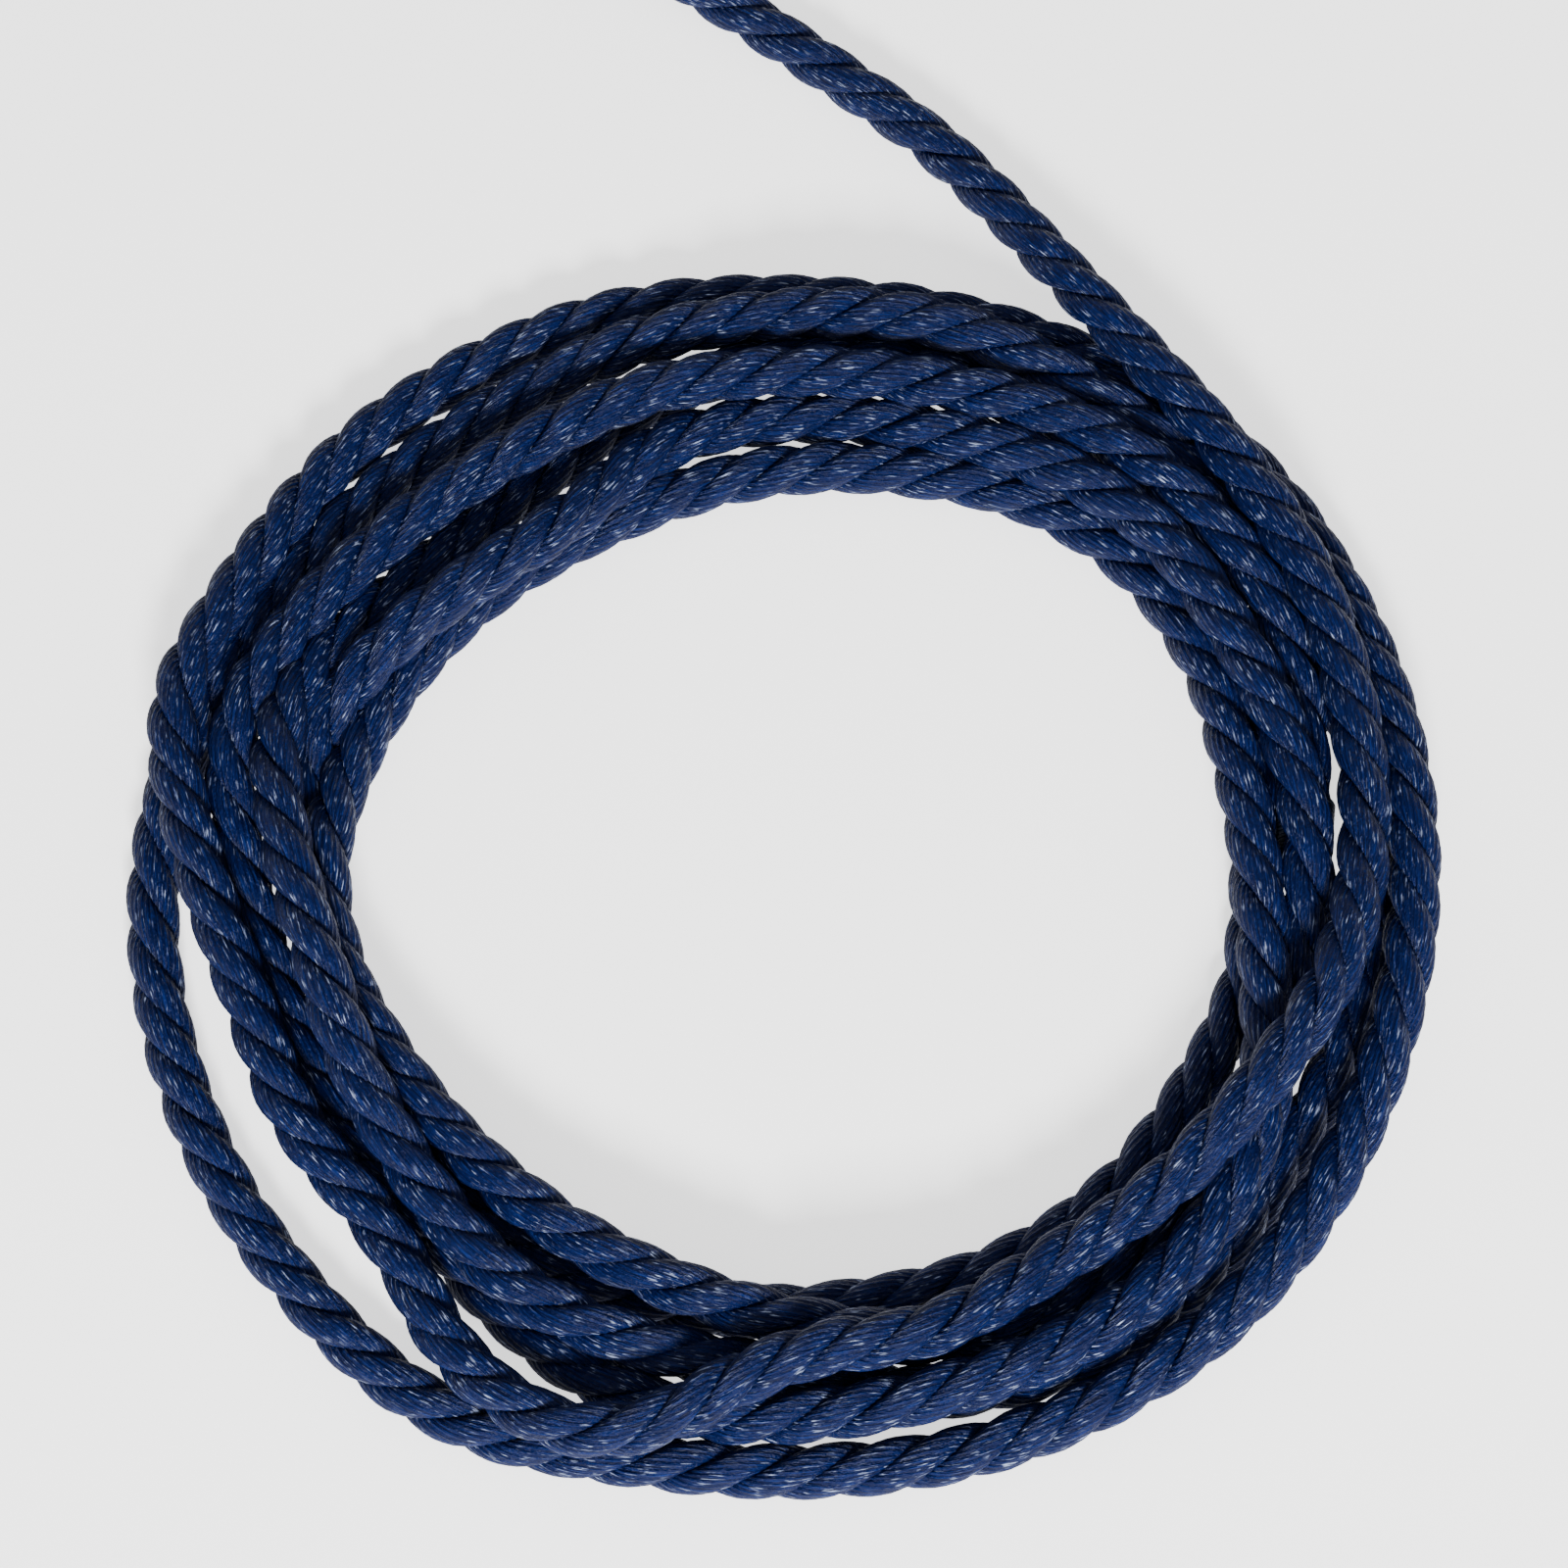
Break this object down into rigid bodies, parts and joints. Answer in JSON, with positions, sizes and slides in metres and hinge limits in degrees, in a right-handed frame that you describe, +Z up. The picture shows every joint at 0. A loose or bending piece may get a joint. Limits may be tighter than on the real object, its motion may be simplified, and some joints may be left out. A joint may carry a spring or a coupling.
{
  "type": "coiled dock line",
  "caption": "Three-strand dock line laid down as a loose flat coil of overlapping turns, with its free tail running off one side.",
  "frame": {"origin": "middle of the coil's open eye, on the ground it lies on", "axes": "+Z up from the ground through the eye, +Y towards the side where the tail leaves the coil"},
  "size_m": [0.294, 0.4242, 0.033],
  "materials": {
    "rope": "matte",
    "twine": "matte",
    "sealed_tip": "satin"
  },
  "bodies": {
    "root": {"rope_coil": "rope", "rope_tail": "rope", "tail_whipping": "twine", "tail_tip": "sealed_tip", "inner_whipping": "twine", "inner_tip": "sealed_tip"}
  },
  "joints": []
}
